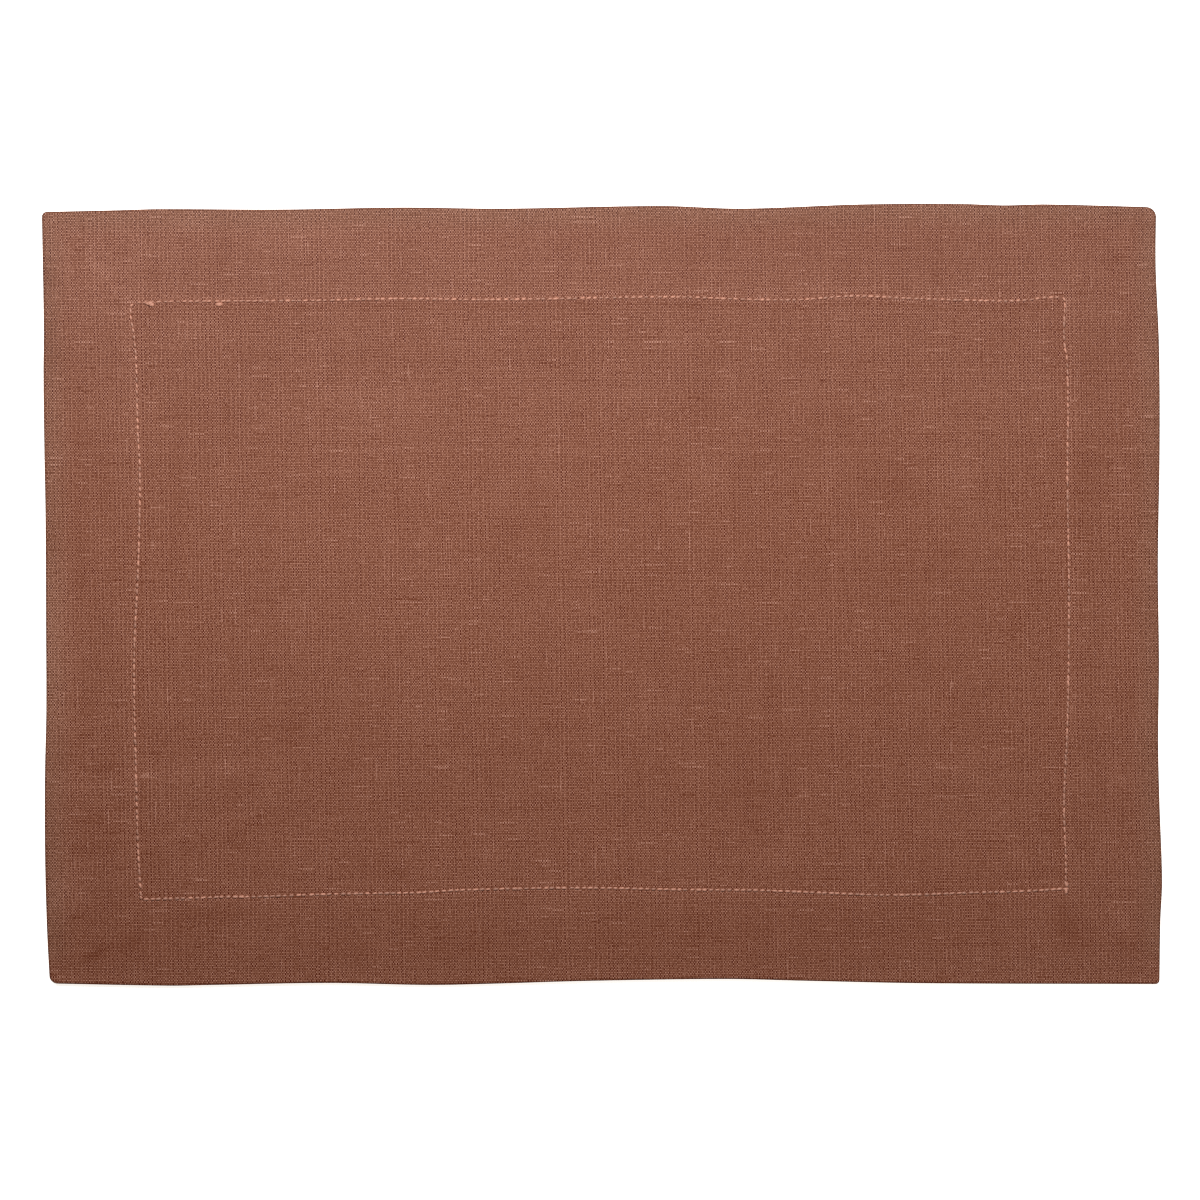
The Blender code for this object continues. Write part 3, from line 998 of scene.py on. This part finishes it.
SLUB_RISE = 0.05  # of the noise, over which a slub grows to its full thickness
SLUB_WIDER = 0.12  # in shares of the pitch, as is the next
SLUB_REACH = 0.75  # how much of a thread lies in the shade of a slub beside it
LOW_SIDE = 0.2  # height of a thread where it passes under


class Shade(NamedTuple):
    """A stretch of painted light and shade across the sewn row: a change of the cloth's tone, counted
    from the row inwards.
    """

    start: float
    end: float
    tone: float


# painted light on the hem's side of the row, painted shade inside it
ROW_SHADES = (Shade(-7.0, -1.0, 1.07), Shade(-0.5, 0.5, 0.9), Shade(2.5, 6.5, 1.0 / (1.07 * 0.9)))
LINEN = {  # the cloth's colour at each tone; the light end is greyer, as painted sheen on the light threads
    0.00: (0.076, 0.008, 0.001),
    0.45: (0.141, 0.0385, 0.0165),
    1.00: (0.2235, 0.084, 0.0482),
    2.40: (0.436, 0.213, 0.152),
}
LINEN_WORN_AND_SHEEN = (0.0, 0.009, 0.007)  # added, as are the next two: wear and painted sheen along the outer fold
# painted sheen, greyer towards the back
LINEN_PAINTED_BACK_SHEEN = (0.0, 0.004, 0.0052)
SLUB_PALE = (0.02, 0.02, 0.02)

THREAD = (0.517, 0.238, 0.160, 1.0)
THREAD_DARK = (0.33, 0.139, 0.088, 1.0)


class Yarn(NamedTuple):
    """One set of threads, as values of the material."""

    line: object  # counts across the threads
    number: object  # which thread
    off: object  # off its middle, from -0.5 to 0.5
    turn: object  # 1 or -1 by turns
    slub: object  # up to 1 where the thread is thick
    tone: object  # how light the thread is, about 1
    body: object  # height of its round section, 0 at its sides


def thread_place(recipe, weave, across, along):
    """The distance across the threads, which lean, swing and crowd together."""
    swing = recipe.noise(across, along, weave.seed, lumps=(0.045, 0.02))
    crowd = recipe.noise(across, along, weave.seed + 1.0, lumps=(0.5, 0.01))
    astray = recipe.add(recipe.times(swing, weave.swing), recipe.times(crowd, weave.crowd))
    return recipe.add(recipe.sum("MULTIPLY_ADD", along, weave.lean, across), astray)


def thickness(recipe, weave, number, along):
    """Noise along each thread, and up to 1 where it makes a slub."""
    lump = recipe.noise(along, number, weave.seed + 4.0, lumps=(1.0 / weave.slub_length, 5.17))
    return lump, recipe.soft(lump, weave.slub_from, weave.slub_from + SLUB_RISE)


def thread_luck(recipe, number, seed):
    """A random number for each thread, and by how much it is above those of its neighbours."""
    luck = recipe.chance(number, seed)
    before = recipe.chance(recipe.less(number, 1.0), seed)
    after = recipe.chance(recipe.add(number, 1.0), seed)
    return luck, recipe.less(luck, recipe.times(recipe.add(before, after), 0.5))


def yarn(recipe, weave, across, along):
    """Counts the threads, unevenly spaced and not quite straight, and gives each its own look."""
    place = thread_place(recipe, weave, across, along)
    line = recipe.times(place, 1.0 / weave.pitch)
    number = recipe.sum("FLOOR", line)
    off = recipe.less(recipe.less(line, number), 0.5)
    turn = recipe.sum("MULTIPLY_ADD", recipe.sum("FLOORED_MODULO", number, 2.0), -2.0, 1.0)

    luck, unlike = thread_luck(recipe, number, weave.seed)
    lump, slub = thickness(recipe, weave, number, along)
    most_thin = 1.0 - SLUB_RISE - weave.slub_from
    thin = recipe.soft(lump, most_thin, 1.0 - weave.slub_from, to_low=1.0, to_high=0.0)
    next_number = recipe.sum("FLOOR", recipe.add(line, SLUB_REACH))
    next_slub = thickness(recipe, weave, next_number, along)[1]
    shaded = recipe.sum("MAXIMUM", recipe.less(next_slub, slub), 0.0)
    streaks = recipe.noise(along, number, weave.seed + 2.0, lumps=(0.45, 7.31))
    by_turns = recipe.noise(along, across, weave.seed + 3.0, lumps=(0.03, 0.05))

    tone = recipe.more(1.0, unlike, weave.contrast)
    tone = recipe.add(tone, recipe.times(recipe.less(streaks, 0.5), STREAK_CONTRAST))
    turns = recipe.times(recipe.less(by_turns, 0.5), turn)
    tone = recipe.add(tone, recipe.times(turns, TURN_CONTRAST))
    tone = recipe.add(tone, recipe.times(slub, SLUB_LIGHT))
    tone = recipe.less(tone, recipe.times(shaded, SLUB_SHADE))
    tone = recipe.less(tone, recipe.times(thin, THIN_DARK))
    if weave.reed:
        dents = recipe.sum("COSINE", recipe.times(place, 2.0 * math.pi / weave.reed))
        tone = recipe.more(tone, dents, REED_CONTRAST)

    half = recipe.add(recipe.spread(luck, weave.thin, weave.thick), recipe.times(slub, SLUB_WIDER))
    side = recipe.sum("DIVIDE", off, half)
    round_top = recipe.sum("MAXIMUM", recipe.less(1.0, recipe.times(side, side)), 0.0)
    return Yarn(line, number, off, turn, slub, tone, body=recipe.sum("SQRT", round_top))


def crossing(recipe, warp, weft):
    """Over and under by turns: 1 where the weft lies on top, and the height of the thread on top."""
    warp_wave = recipe.sum("SINE", recipe.times(warp.line, math.pi))
    weft_wave = recipe.sum("SINE", recipe.times(weft.line, math.pi))
    weft_over = recipe.sum("MULTIPLY_ADD", recipe.times(warp_wave, weft.turn), 0.5, 0.5)
    warp_over = recipe.sum("MULTIPLY_ADD", recipe.times(weft_wave, warp.turn), -0.5, 0.5)
    warp_top = recipe.times(warp.body, recipe.spread(warp_over, LOW_SIDE, 1.0))
    weft_top = recipe.times(weft.body, recipe.spread(weft_over, LOW_SIDE, 1.0))
    is_weft = recipe.sum("GREATER_THAN", weft_top, warp_top)
    return is_weft, recipe.sum("MAXIMUM", warp_top, weft_top)


def unlike_neighbours(recipe, warp, weft):
    """How much a crossing differs from the four beside it."""
    itself, left, right, below, above = (
        recipe.chance(recipe.add(warp.number, column), recipe.add(weft.number, row), 5.0)
        for column, row in ((0.0, 0.0), (-1.0, 0.0), (1.0, 0.0), (0.0, -1.0), (0.0, 1.0))
    )
    beside = recipe.add(recipe.add(left, right), recipe.add(below, above))
    return recipe.less(recipe.more(itself, beside, -NEIGHBOUR_SHARE), UNLIKE_MIDDLE)


def bands(recipe, across, along):
    """Wide faint stripes both ways, where the weaving was a little looser or tighter."""
    of_warp = recipe.noise(across, along, 15.0, lumps=(0.13, 0.03), detail=2.0)
    of_weft = recipe.noise(along, across, 16.0, lumps=(0.13, 0.03), detail=2.0)
    narrow = recipe.noise(across, along, 17.0, lumps=(0.38, 0.03))
    return recipe.less(recipe.add(recipe.add(of_warp, of_weft), narrow), 1.5)


def fibres(recipe, warp, weft, is_weft, across, along):
    """Fine streaks along the thread on top: 5 or 6 lumps across it and 1.4 to its millimetre."""
    aside = recipe.pick(is_weft, recipe.times(warp.off, 5.0), recipe.times(weft.off, 6.0))
    run = recipe.pick(is_weft, recipe.times(along, 1.4), recipe.times(across, 1.4))
    return recipe.less(recipe.noise(aside, run, recipe.add(warp.number, weft.number)), 0.5)


def woven_tone(recipe, warp, weft, is_weft):
    """How light the thread on top is at each crossing, about 1, with painted light on the weft, which
    lies across the light, and painted shade on the warp.
    """
    relief = recipe.noise(warp.line, weft.line, 8.0, lumps=(0.5, 0.5))
    contrast = recipe.more(OVER_CONTRAST, recipe.less(relief, 0.5), RELIEF_CONTRAST)
    tone = recipe.pick(is_weft, recipe.less(warp.tone, contrast), recipe.add(weft.tone, contrast))
    tone = recipe.more(tone, recipe.pick(is_weft, weft.slub, warp.slub), SLUB_BELOW)
    return recipe.more(tone, unlike_neighbours(recipe, warp, weft), CROSSING_CONTRAST)


def sewn_painted_shade(recipe, tone, inset):
    """Painted light on the hem's side of the row and painted shade inside it, and darkest, as painted
    shade, under the stitches.
    """
    past_row = recipe.less(inset, HEM_WIDTH)
    for shade in ROW_SHADES:
        tone = recipe.times(tone, recipe.soft(past_row, shade.start, shade.end, 1.0, shade.tone))
    off_row = recipe.sum("ABSOLUTE", past_row)
    # painted shade under the stitches
    return recipe.times(tone, recipe.soft(off_row, 0.3, 0.8, to_low=0.92))


def linen_material():
    """Plain-woven linen, thread by thread, with the marks of its hem and of use, and painted light and
    shade of its threads, folds and hem.
    """
    recipe = Recipe("terracotta_linen")
    across, along = recipe.map("cut")
    warp = yarn(recipe, WARP, across, along)
    weft = yarn(recipe, WEFT, along, across)
    is_weft, top = crossing(recipe, warp, weft)

    tone = woven_tone(recipe, warp, weft, is_weft)
    tone = recipe.more(tone, bands(recipe, across, along), BAND_CONTRAST)
    tone = recipe.more(tone, fibres(recipe, warp, weft, is_weft, across, along), FIBRE_CONTRAST)
    # painted shade deep between the threads, where they pass low, and painted light on their crowns
    tone = recipe.times(tone, recipe.soft(top, 0.2, 0.9, to_low=0.15, to_high=1.2))
    patches = recipe.less(recipe.noise(across, along, 4.0, lumps=(0.02, 0.02), detail=3.0), 0.5)
    tone = recipe.times(tone, recipe.more(1.0, patches, PATCH_CONTRAST))
    # the blots: painted light and shade of creases, folded corners and the hem, and tone that differs at
    # random
    tone = recipe.times(tone, recipe.attribute("tone"))

    # painted shade where it turns out of the light, wear and painted sheen along the outer fold but not
    # at the front, and painted sheen that greys it towards the back
    x, y = recipe.map("mat")
    edge_x = recipe.less(HALF_LENGTH, recipe.sum("ABSOLUTE", x))
    edge_y = recipe.less(HALF_WIDTH, recipe.sum("ABSOLUTE", y))
    inset = recipe.sum("MINIMUM", edge_x, edge_y)
    tone = recipe.times(tone, recipe.soft(inset, 0.0, 1.5, to_low=0.5))
    tone = sewn_painted_shade(recipe, tone, inset)
    at_edge = recipe.soft(inset, 1.0, 14.0, to_low=1.0, to_high=0.0)
    worn_and_sheen = recipe.times(at_edge, recipe.soft(y, -172.0, -156.0))
    painted_back_sheen = recipe.soft(y, 20.0, 165.0)
    pale = recipe.times(recipe.pick(is_weft, warp.slub, weft.slub), recipe.soft(top, 0.3, 0.9))

    colour = recipe.ramp(tone, LINEN)
    colour = recipe.tint(colour, worn_and_sheen, LINEN_WORN_AND_SHEEN)
    colour = recipe.tint(colour, painted_back_sheen, LINEN_PAINTED_BACK_SHEEN)
    colour = recipe.tint(colour, pale, SLUB_PALE)
    recipe.shader.inputs["Specular IOR Level"].default_value = 0.07
    recipe.bump(top, distance=0.1, strength=0.5)
    return recipe.finish(colour, roughness=0.5)


def thread_material():
    """Two strands twisted together by 7 radians to the millimetre, slightly glossy."""
    known = bpy.data.materials.get("sewing_thread")
    if known:
        return known
    recipe = Recipe("sewing_thread")
    along, aside = recipe.map("thread")
    turned = recipe.add(recipe.times(along, 7.0), recipe.times(aside, 9.0))
    strand = recipe.sum("MULTIPLY_ADD", recipe.sum("SINE", turned), 0.5, 0.5)
    colour = recipe.tone(recipe.spread(strand, 0.0, 0.6), THREAD, THREAD_DARK)
    colour = recipe.shade(colour, recipe.spread(recipe.attribute("shade"), 0.7, 1.12))
    recipe.bump(strand, distance=0.05, strength=0.4)
    return recipe.finish(colour, roughness=0.45)


def table_material():
    """White, and glowing a little, so that it is as even as the photo's cut-out ground."""
    recipe = Recipe("pale_table")
    recipe.shader.inputs["Emission Color"].default_value = (1.0, 0.98, 0.92, 1.0)
    recipe.shader.inputs["Emission Strength"].default_value = 0.75
    return recipe.finish((0.93, 0.93, 0.93, 1.0), roughness=0.9)


# ---------------------------------------------------------------- table, light and camera


TABLE_TOP = -0.2 * MM  # a little below the mat, so that their surfaces don't mix


class Lamp(NamedTuple):
    """A flat light: where it hangs, the place it shines at, its two sides and its power."""

    name: str
    place: tuple
    aim: tuple
    size: tuple
    power: float


LAMPS = (
    Lamp("window", (-0.06, 0.344, 0.633), aim=(-0.03, 0.162, 0.0), size=(1.0, 0.16), power=7.62),
    Lamp("reflector", (0.5, -0.35, 0.6), aim=(0.25, -0.12, 0.0), size=(0.3, 0.3), power=1.17),
)
VIEW_WIDTH = 538.6 * MM  # what the picture takes in, at the mat
VIEW_MIDDLE = (-0.9 * MM, -2.35 * MM)
CAMERA_HEIGHT = 1.6
SENSOR_WIDTH = 36.0


def add_table():
    """A wide pale table, as the ground of the picture."""
    pick_nothing()
    bpy.ops.mesh.primitive_plane_add(size=8.0, location=(0.0, 0.0, TABLE_TOP))
    table = bpy.context.object
    table.name = "table"
    table.data.materials.append(table_material())


def add_room():
    """An even, pale light from all round."""
    world = bpy.data.worlds.new("pale_room")
    world.use_nodes = True
    background = world.node_tree.nodes["Background"]
    background.inputs["Color"].default_value = (1.0, 1.0, 1.0, 1.0)
    background.inputs["Strength"].default_value = 0.13
    bpy.context.scene.world = world


def add_light(lamp):
    """Hangs one flat light and turns it to what it shines at."""
    light = bpy.data.lights.new(lamp.name, "AREA")
    light.shape = "RECTANGLE"
    light.size, light.size_y = lamp.size
    light.energy = lamp.power
    holder = add_object(lamp.name, light)
    holder.location = lamp.place
    towards = Vector(lamp.aim) - Vector(lamp.place)
    holder.rotation_euler = towards.to_track_quat("-Z", "Y").to_euler()


def add_camera():
    """Straight overhead."""
    camera = bpy.data.cameras.new("overhead")
    camera.sensor_width = SENSOR_WIDTH
    camera.lens = SENSOR_WIDTH * CAMERA_HEIGHT / VIEW_WIDTH
    camera.clip_start = 0.01
    eye = add_object("overhead", camera)
    eye.location = (*VIEW_MIDDLE, CAMERA_HEIGHT)
    bpy.context.scene.camera = eye


def set_film():
    """Plain colours, and a sharp picture in which no denoiser smooths the weave away."""
    scene = bpy.context.scene
    scene.view_settings.view_transform = "Standard"
    scene.cycles.use_denoising = False
    scene.cycles.filter_width = 1.2


# ---------------------------------------------------------------- the whole


def dress_mat():
    """The cloth and its stitches, in place of the solid."""
    cloth = woven_cloth()
    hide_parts("placemat_cloth")
    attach(cloth, "root")
    row = sew("face_stitches", row_placings(FACE_SIDE) + extra_placings(), FACE_SIDE)
    under = sew("underside_stitches", row_placings(UNDER_SIDE), UNDER_SIDE)
    for piece in (row, under):
        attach(piece, "root")


def main():
    add_camera()
    dress_mat()
    add_table()
    add_room()
    for lamp in LAMPS:
        add_light(lamp)
    set_film()


main()
